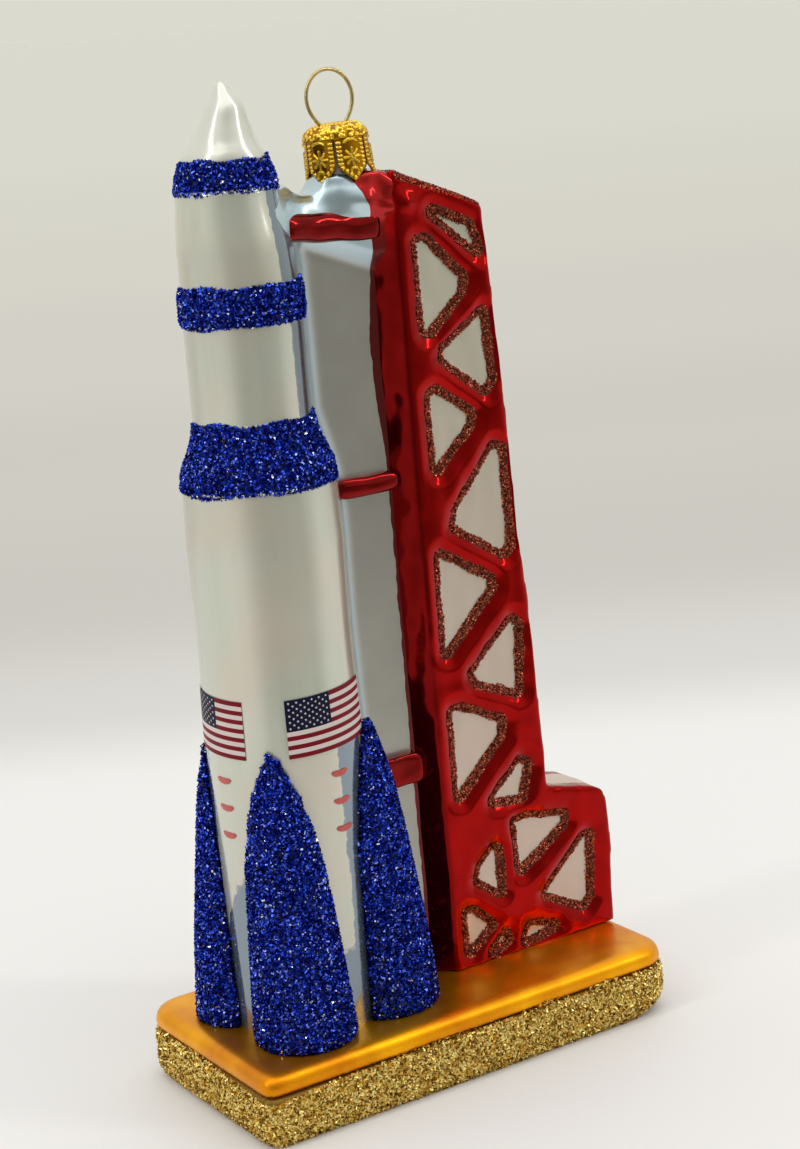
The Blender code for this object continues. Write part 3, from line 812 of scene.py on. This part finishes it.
# Painted shade on the mast's near side
candy = mixed(tree, carried(tree, "near_side_painted_shade"), candy, "#7C0202")
wander = ranged(tree, mottle(tree, 0.9 * MM), to=(-0.3, 0.3))
window = maths(tree, "ADD", carried(tree, "window_gap"), wander)
panel = maths(tree, "ADD", carried(tree, "panel_gap"), wander)
glued = ranged(tree, window, (1.4, 1.25))
white = ranged(tree, maths(tree, "MINIMUM", window, panel), (0.06, -0.06))
milk = mixed(tree, ranged(tree, height_of(tree), (50 * MM, 130 * MM)), "#D2BEB0", "#C6C2B0")
tone = mixed(tree, glued, candy, "#5A2018")
tree.links.new(mixed(tree, white, tone, milk), shader.inputs["Base Color"])
dull = maths(tree, "MAXIMUM", glued, white)
tree.links.new(ranged(tree, dull, to=(0.88, 0.25)), shader.inputs["Metallic"])
tree.links.new(ranged(tree, dull, to=(0.12, 0.35)), shader.inputs["Roughness"])

# The arms carry the same lacquer in a thicker coat, with painted shade: a darker red all over, mottled in
# patches
arm_red_painted_shade = mottled_finish(
    "red_lacquer_painted_shade_on_arms", 3 * MM, "#560101", "#960402", 1.0,
    Metallic=0.95, Roughness=0.1, Coat_Weight=0.15, Coat_Roughness=0.02,
)

tower = add_piece("tower_skin", mesh, red_lacquer)
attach(tower, "ornament")
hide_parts(*TOWER_NODES)

# The upper arm reaches further left, and hangs from one end to the other; heights in mm
ARM_STRETCH = 1.23
ARM_FOOT = 135.8
ARM_HANGS = 2.0
ARM_TALL = 4.0
ARM_TALLER = 1.2
ARMS_SEED = 30
for seed, node in enumerate(ARM_NODES, ARMS_SEED):
    mesh = skin_mesh(node + "_skin", [node], 0.2 * MM, 0.35 * MM, 8)
    points = points_of(mesh)
    if node == "upper_access_arm":
        low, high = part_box(node)
        share = (points[:, 0] - low.x) / (high.x - low.x)
        lift = (points[:, 2] - low.z) / (high.z - low.z)
        points[:, 0] = high.x - (high.x - points[:, 0]) * ARM_STRETCH
        points[:, 2] = (ARM_FOOT - ARM_HANGS * share + lift * (ARM_TALL + ARM_TALLER * share)) * MM
        points[:, 1] *= 1.08 + 0.42 * (1 - share).clip(0, 1) ** 2 + 0.09 * np.sin(math.pi * lift.clip(0, 1))
        put_points(mesh, points)
    points += normals_of(mesh) * (ripple(points, 6 * MM, seed) * 0.08 * MM)[:, None]
    put_points(mesh, points)
    arm = add_piece(node + "_skin", mesh, arm_red_painted_shade)
    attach(arm, "ornament")
    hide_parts(node)

# Red glitter
# Fine copper-red glitter laid in glue round every window and over the sloping head.
RED_FLAKE = (0.26 * MM, 0.208 * MM, 0.6)
RED_PER_MM2 = 36
BORDER = 1.3 * MM
BORDER_LAP = 0.12 * MM
# The head's top, and the edge along its front down to which the flakes lie: across, up in mm
BROW = ((5.9, 143.6), (9.5, 141.9), (14.5, 140.2), (21.4, 137.7))
# Thin copper red foil, from brown in the shade to bright copper
red_foil = foil_finish("copper_red_foil_flakes", 0.9, ((0, "#4E1410"), (1, "#D87050")), 0.5, 0.25)

rng = np.random.default_rng(41)
points, normals = strew(tower.data, RED_PER_MM2, rng)
gap = gap_to(windows, points[:, [0, 2]]) + ripple(points, 3 * MM, 7) * 0.12 * MM
on_border = (abs(normals[:, 1]) > STEEP) & (gap > -BORDER_LAP) & (gap < BORDER)
head_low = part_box("tower_head")[0]
on_head = (normals[:, 2] > 0.45) & (points[:, 2] > head_low.z)
on_head |= points[:, 2] > graded(points[:, 0], BROW)
on_head &= points[:, 0] > head_low.x + 1 * MM
for name, shown in (("window_glitter", on_border), ("head_glitter", on_head & ~on_border)):
    strewn = add_flakes(name, red_foil, points[shown], normals[shown], RED_FLAKE, 0.15 * MM, rng)
    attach(strewn, "ornament")

# Slab
# The hollow foot: its top and shoulders are satin orange gold lacquer, and its flanks are rolled
# in coarse gold glitter up to a wandering line.

# Lacquer over metal, blotched where it dried unevenly, so that it gleams in soft streaks
orange_gold, tree, shader = new_finish(
    "orange_gold_satin_lacquer", Metallic=0.9, Roughness=0.37, Coat_Weight=0.05, Coat_Roughness=0.15
)
blotch = ranged(tree, mottle(tree, 11 * MM, 3.0), (0.35, 0.65))
tree.links.new(mixed(tree, blotch, "#DE8400", "#FFB204"), shader.inputs["Base Color"])
# Brown glue that shows as the dark between the flakes, and flakes of pale gold foil
gold_glue = mottled_finish("gold_glue_bed", 0.5 * MM, "#5A4010", "#A88028", Metallic=0.5, Roughness=0.5)
gold_foil = foil_finish("pale_gold_foil_flakes", 1.0, ((0, "#CC9620"), (1, "#FFF09A")), 0.5, 0.3)

GOLD_FLAKE = (0.62 * MM, 0.27 * MM, 0.55)
GOLD_PER_MM2 = 17
# The height up to which the flakes lie, and how far it drops at the near left corner
GOLD_LINE = 8.8 * MM
LINE_DROP = 1.4 * MM
CORNER = (-38 * MM, -19 * MM)
CORNER_REACH = 9 * MM
# How far the lower edge is drawn in, and up to what height; how far the right end is lifted
DRAWN_IN = 1.1 * MM
DRAWN_UP_TO = 3.5 * MM
END_LIFT = 1.5 * MM
END_X = 29 * MM
END_REACH = 9 * MM
LIFT_UP_TO = 8 * MM
FLOOR_CLEAR = 0.01 * MM
SLAB_SEED = 50
slab = []
for seed, (node, name, finish, slot) in enumerate((
    ("base_deck", "deck_skin", orange_gold, "orange_lacquer"),
    ("base_band", "band_glue", gold_glue, "gold_glitter"),
), SLAB_SEED):
    mesh = skin_mesh(name, [node], 0.16 * MM, 0.75 * MM, 5)
    points = points_of(mesh)
    drawn = DRAWN_IN * np.clip(1 - points[:, 2] / DRAWN_UP_TO, 0, 1) ** 2
    points[:, :2] -= normals_of(mesh)[:, :2] * drawn[:, None]
    lifted = smooth((points[:, 0] - END_X) / END_REACH) * np.clip(1 - points[:, 2] / LIFT_UP_TO, 0, 1)
    points[:, 2] = np.maximum(points[:, 2] + END_LIFT * lifted, FLOOR_CLEAR)
    put_points(mesh, points)
    skin = add_piece(name, mesh, finish)
    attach(skin, "ornament")
    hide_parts(node)
    points, normals = strew(mesh, GOLD_PER_MM2, np.random.default_rng(seed))
    from_corner = np.hypot(points[:, 0] - CORNER[0], points[:, 1] - CORNER[1])
    line = GOLD_LINE - LINE_DROP * np.exp(-(from_corner / CORNER_REACH) ** 2)
    line += ripple(points, 9 * MM, 8) * 0.3 * MM
    shown = (abs(normals[:, 2]) < 0.8) & (points[:, 2] < line)
    slab.append((points[shown], normals[shown]))
rng = np.random.default_rng(52)
points, normals = (np.concatenate(part) for part in zip(*slab))
strewn = add_flakes("band_flakes", gold_foil, points, normals, GOLD_FLAKE, 0.25 * MM, rng)
points = points_of(strewn.data)
points[:, 2] = np.maximum(points[:, 2], 0.02 * MM)
put_points(strewn.data, points)
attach(strewn, "ornament")

# Flags
# Two water-slide transfers wrapped round the foot of the main stage, printed with thirteen
# stripes and a starred canton.
FLAG_FOOT = 58.2 * MM
FLAG_TALL = 9.3 * MM
FLAG_PROUD = 0.14 * MM
STAR_PROUD = 0.16 * MM
STRIPES = 13
CANTON_STRIPES = 7
FLAG_COLUMNS = 60
STAR = 0.23 * MM
STAR_WAIST = 0.45
STAR_ROWS = 9
STAR_COLUMNS = 6
# Printed inks, half matt and a little uneven
inks = []
for name, colour in (("red_ink", "#7C0A1E"), ("white_ink", "#DED2CE"), ("navy_ink", "#081030")):
    deeper = (*[0.85 * c for c in linear(colour)[:3]], 1.0)
    inks.append(mottled_finish(
        "transfer_" + name, 0.3 * MM, colour, deeper, Roughness=0.45, Specular_IOR_Level=0.15
    ))


# A point on the main stage, at an arc length from a plan angle and at a height
def on_stage(middle, arc, z, proud):
    radius = np.interp(z, stage_heights, stage_radii) + proud
    turn = math.radians(middle) + arc / stage_radii[0]
    return (stage_axis.x + radius * math.cos(turn), stage_axis.y + radius * math.sin(turn), z)


# name, plan angles of its ends, columns of its canton, and how far it tilts in mm
for name, start, end, canton_columns, tilt in (
    ("right_flag", 243.4, 317.4, 28, 0.3),
    ("left_flag", 148, 212, 36, -0.3),
):
    middle = (start + end) / 2
    flag_long = math.radians(end - start) * stage_radii[0]
    flag = bmesh.new()
    rows = []
    shares = [j / FLAG_COLUMNS - 0.5 for j in range(FLAG_COLUMNS + 1)]
    for i in range(STRIPES + 1):
        z = FLAG_FOOT + FLAG_TALL * (1 - i / STRIPES)
        spots = [on_stage(middle, flag_long * s, z + tilt * MM * 2 * s, FLAG_PROUD) for s in shares]
        rows.append([flag.verts.new(spot) for spot in spots])
    for i in range(STRIPES):
        for j in range(FLAG_COLUMNS):
            face = flag.faces.new((rows[i + 1][j], rows[i + 1][j + 1], rows[i][j + 1], rows[i][j]))
            face.material_index = 2 if i < CANTON_STRIPES and j < canton_columns else i % 2
            face.smooth = True
    canton_long = flag_long * canton_columns / FLAG_COLUMNS
    canton_tall = FLAG_TALL * CANTON_STRIPES / STRIPES
    for i in range(STAR_ROWS):
        for j in range(STAR_COLUMNS - i % 2):
            arc = -flag_long / 2 + canton_long * (2 * j + 1 + i % 2) / (2 * STAR_COLUMNS)
            z = FLAG_FOOT + FLAG_TALL - canton_tall * (i + 1) / (STAR_ROWS + 1)
            z += tilt * MM * 2 * arc / flag_long
            tips = []
            for k in range(10):
                radius = STAR * (STAR_WAIST if k % 2 else 1)
                turn = math.pi / 2 + k * math.pi / 5
                over, above = arc + radius * math.cos(turn), z + radius * math.sin(turn)
                tips.append(flag.verts.new(on_stage(middle, over, above, STAR_PROUD)))
            flag.faces.new(tips).material_index = 1
    mesh = mesh_from(name, flag)
    transfer = add_piece(name, mesh, None)
    for ink in inks:
        mesh.materials.append(ink)
    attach(transfer, "ornament")

# Brush dabs
# Three short strokes of red paint below each flag, put on by hand, where the real one has a
# hand-painted mark.
DAB_LONG = 3.2 * MM
DAB_TALL = 1.0 * MM
DAB_BOW = 0.25 * MM
DAB_EDGE_PROUD = 0.1 * MM
DAB_MIDDLE_PROUD = 0.14 * MM
# Thin red paint with the streaks of the bristles, glossy where it is thick
dab_paint = mottled_finish("red_brush_paint", 0.5 * MM, "#A8342E", "#D0483E", Roughness=0.3, Coat_Weight=0.6)
dabs = bmesh.new()
for middle in (281, 189):
    for z in (54.0, 49.5, 45.0):
        rows = []
        for share in np.linspace(-1, 1, 13).tolist():
            half = DAB_TALL / 2 * math.sqrt(max(0.06, 1 - share ** 4))
            height = z * MM + DAB_BOW * share ** 2
            edges = ((-half, DAB_EDGE_PROUD), (0, DAB_MIDDLE_PROUD), (half, DAB_EDGE_PROUD))
            row = [on_stage(middle, DAB_LONG / 2 * share, height + side, proud) for side, proud in edges]
            rows.append([dabs.verts.new(spot) for spot in row])
        for before, here in zip(rows, rows[1:]):
            for k in range(2):
                dabs.faces.new((before[k], here[k], here[k + 1], before[k + 1])).smooth = True
painted_dabs = add_piece("brush_dabs", mesh_from("brush_dabs", dabs), dab_paint)
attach(painted_dabs, "ornament")

# Cap
# Thin brass foil, pressed over a die into a grained crown and six pointed petals, each with
# beaded edges round a rayed flower, then slipped over the neck, on which it sits a little askew.
CROWN_STEPS = 230
GRAINS = 340
GRAIN_REACH = 6.3 * MM
GRAIN_SIZE = 0.32 * MM
GRAIN_HEIGHT = 0.26 * MM
PETALS = 6
PETAL_ROWS = 50
PETAL_COLUMNS = 43
LINE_HALF = 0.15 * MM
LINE_HEIGHT = 0.26 * MM
STAMPED_FULL = 0.16 * MM
SLIT_ANGLE = math.radians(234)
SLIT_HALF = 0.16 * MM
SLIT_TOP = 150.2 * MM
POINT_TOP = 145.8 * MM
POINT_TIP = 143.5 * MM
FOIL = 0.2 * MM
CAP_SPACING = 0.15 * MM
CAP_LEAN = math.radians(-3.5)
BLOOM_Z = 147.2 * MM
BLOOM_REACH = 1.45 * MM
BLOOM_STEP = math.pi / 4
# The cap's radius and height in mm, from its middle out and down
cap_profile = np.array((
    (0, 152.3), (2.1, 152.25), (3.3, 152.1), (4.2, 151.7), (4.75, 151.1),
    (5.0, 150.1), (5.05, 148.2), (5.15, 146.0), (5.25, 143.4),
)) * MM
cap_lengths = np.concatenate(([0], np.cumsum(np.hypot(*np.diff(cap_profile, axis=0).T))))


# Points of the cap at a plan angle and a length down its profile, raised by a height
def on_cap(angles, lengths, raised):
    radius, z = (np.interp(lengths, cap_lengths, side) for side in cap_profile.T)
    step = 0.3 * MM
    slope_r, slope_z = (
        np.interp(lengths + step, cap_lengths, side) - np.interp(lengths - step, cap_lengths, side)
        for side in cap_profile.T
    )
    size = np.hypot(slope_r, slope_z)
    radius = radius - raised * slope_z / size
    z = z + raised * slope_r / size
    return np.stack((radius * np.cos(angles), radius * np.sin(angles), z), -1)


# Round bosses, or ones stretched sideways
def domes(across, down, centres, size, height, stretch=1.0):
    raised = np.zeros(across.shape)
    for x, y in centres:
        near = 1 - (((across - x) / stretch) ** 2 + (down - y) ** 2) / size ** 2
        raised = np.maximum(raised, height * np.sqrt(np.clip(near, 0, 1)))
    return raised


# A raised line, by the distance from its middle
def ridge(distance):
    return LINE_HEIGHT * np.clip(1 - (distance / LINE_HALF) ** 2, 0, 1)


rng = np.random.default_rng(61)
slit_length = np.interp(-SLIT_TOP, -cap_profile[:, 1], cap_lengths)
crown_rows = round(slit_length / CAP_SPACING)
lengths, angles = np.meshgrid(
    np.linspace(0.02 * MM, slit_length, crown_rows),
    np.linspace(0, 2 * math.pi, CROWN_STEPS, endpoint=False),
    indexing="ij",
)
grains = []
for _ in range(GRAINS):
    reach, turn = GRAIN_REACH * math.sqrt(rng.random()), rng.uniform(0, 2 * math.pi)
    grains.append((reach * math.cos(turn), reach * math.sin(turn)))
raised = domes(lengths * np.cos(angles), lengths * np.sin(angles), grains, GRAIN_SIZE, GRAIN_HEIGHT)
cap_points = [on_cap(angles, lengths, raised).reshape(-1, 3)]
cap_raised = [raised.ravel()]
cap_faces = grid_faces(crown_rows, CROWN_STEPS, 0, True)
# One petal, the same for all six: its grid, then bars and beads along its edges and the flower
down, over = np.meshgrid(np.linspace(0, 1, PETAL_ROWS), np.linspace(-1, 1, PETAL_COLUMNS), indexing="ij")
foot = POINT_TIP + (POINT_TOP - POINT_TIP) * np.abs(over) ** 1.1
z = SLIT_TOP + (foot - SLIT_TOP) * down
lengths = np.interp(-z, -cap_profile[:, 1], cap_lengths)
radius = np.interp(lengths, cap_lengths, cap_profile[:, 0])
across = over * (math.pi / PETALS * radius - SLIT_HALF)
bars, beads = [], []
for height in np.arange(146.3, 149.9, 0.64) * MM:
    bars += [(side * 1.98 * MM, height) for side in (-1, 1)]
for k in range(4):
    beads += [(side * 0.6 * MM * k, POINT_TIP + (0.5 + 0.56 * k) * MM) for side in (-1, 1)]
raised = domes(across, z, bars, 0.22 * MM, 0.3 * MM, 2.0)
raised = np.maximum(raised, domes(across, z, beads, 0.29 * MM, 0.34 * MM))
bloom = np.hypot(across, z - BLOOM_Z)
turn = np.arctan2(z - BLOOM_Z, across)
off_ray = bloom * abs(np.sin((turn - BLOOM_STEP / 2) % BLOOM_STEP - BLOOM_STEP / 2))
ray = ridge(off_ray) * (bloom > LINE_HALF) * (bloom < BLOOM_REACH)
arch = ridge(abs(np.hypot(across, z - 145.0 * MM) - 0.55 * MM))
brow = ridge(abs(np.hypot(across / 1.5, z - 149.1 * MM) - 0.8 * MM))
for pattern in (ray, arch * (z > 144.8 * MM), brow * (z > 149.4 * MM)):
    raised = np.maximum(raised, pattern)
first = crown_rows * CROWN_STEPS
for i in range(PETALS):
    middle = SLIT_ANGLE + (i + 0.5) * 2 * math.pi / PETALS
    cap_points.append(on_cap(middle + across / radius, lengths, raised).reshape(-1, 3))
    cap_raised.append(raised.ravel())
    cap_faces += grid_faces(PETAL_ROWS, PETAL_COLUMNS, first, False)
    first += PETAL_ROWS * PETAL_COLUMNS
points = np.concatenate(cap_points)
lean = Matrix.Rotation(CAP_LEAN, 3, look)
seat = np.array((0, 0, 149 * MM))
points = seat + (points - seat) @ np.array(lean).T
mesh = bpy.data.meshes.new("stamped_cap")
mesh.from_pydata(points.tolist(), [], cap_faces)
mesh.shade_smooth()
carry(mesh, "stamped", np.clip(np.concatenate(cap_raised) / STAMPED_FULL, 0, 1))
# Bright lacquered brass, with painted shade in the hollows of the stamping: darker brown where it is low
brass, tree, shader = new_finish("stamped_brass_foil", Metallic=1.0, Roughness=0.24)
tone = mixed(tree, mottle(tree, 0.7 * MM), "#EDB422", "#FFE05C")
# Painted shade: darker brown in the low parts of the stamping
tone = mixed(tree, carried(tree, "stamped"), "#A87410", tone)
tree.links.new(tone, shader.inputs["Base Color"])
cap = add_piece("stamped_cap", mesh, brass)
thickness = cap.modifiers.new("foil", "SOLIDIFY")
thickness.thickness = FOIL
thickness.offset = -1.0
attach(cap, "cap")
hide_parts("ornament_cap")

# Hanging ring
# One length of springy brass wire: an oval eye that narrows to the cap's two holes, and two legs
# that pass them and press against the inside of the neck.
WIRE = 0.3 * MM
EYE_HALF_WIDTH = 4.15 * MM
EYE_HALF_HEIGHT = 4.3 * MM
EYE_Z = 156.3 * MM
CROWN_Z = 152.3 * MM
LEG_X = 2.3 * MM
leg = [(LEG_X + 0.25 * MM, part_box("hanging_ring")[0].z), (LEG_X, 149.8 * MM), (LEG_X, CROWN_Z - 0.3 * MM)]
for i in range(32):
    left = 1 - i / 32
    leg.append((EYE_HALF_WIDTH - (EYE_HALF_WIDTH - LEG_X) * left ** 2, CROWN_Z + (EYE_Z - CROWN_Z) * i / 32))
route = [(-x, z) for x, z in leg]
for i in range(65):
    turn = math.pi * (1 - i / 64)
    route.append((EYE_HALF_WIDTH * math.cos(turn), EYE_Z + EYE_HALF_HEIGHT * math.sin(turn)))
route += reversed(leg)
wire = bpy.data.curves.new("wire_ring", "CURVE")
wire.dimensions = "3D"
wire.bevel_depth = WIRE
wire.bevel_resolution = 4
wire.use_fill_caps = True
spline = wire.splines.new("POLY")
spline.points.add(len(route) - 1)
for point, (x, z) in zip(spline.points, route):
    point.co = (*(Vector(seat) + lean @ Vector((x, 0, z - seat[2]))), 1)
# Pale drawn wire, brown with tarnish in patches
drawn_brass = mottled_finish("drawn_brass_wire", 1.5 * MM, "#A08A50", "#D6C48C", Metallic=1.0, Roughness=0.2)
ring = add_piece("wire_ring", wire, drawn_brass)
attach(ring, "ring")
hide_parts("hanging_ring")
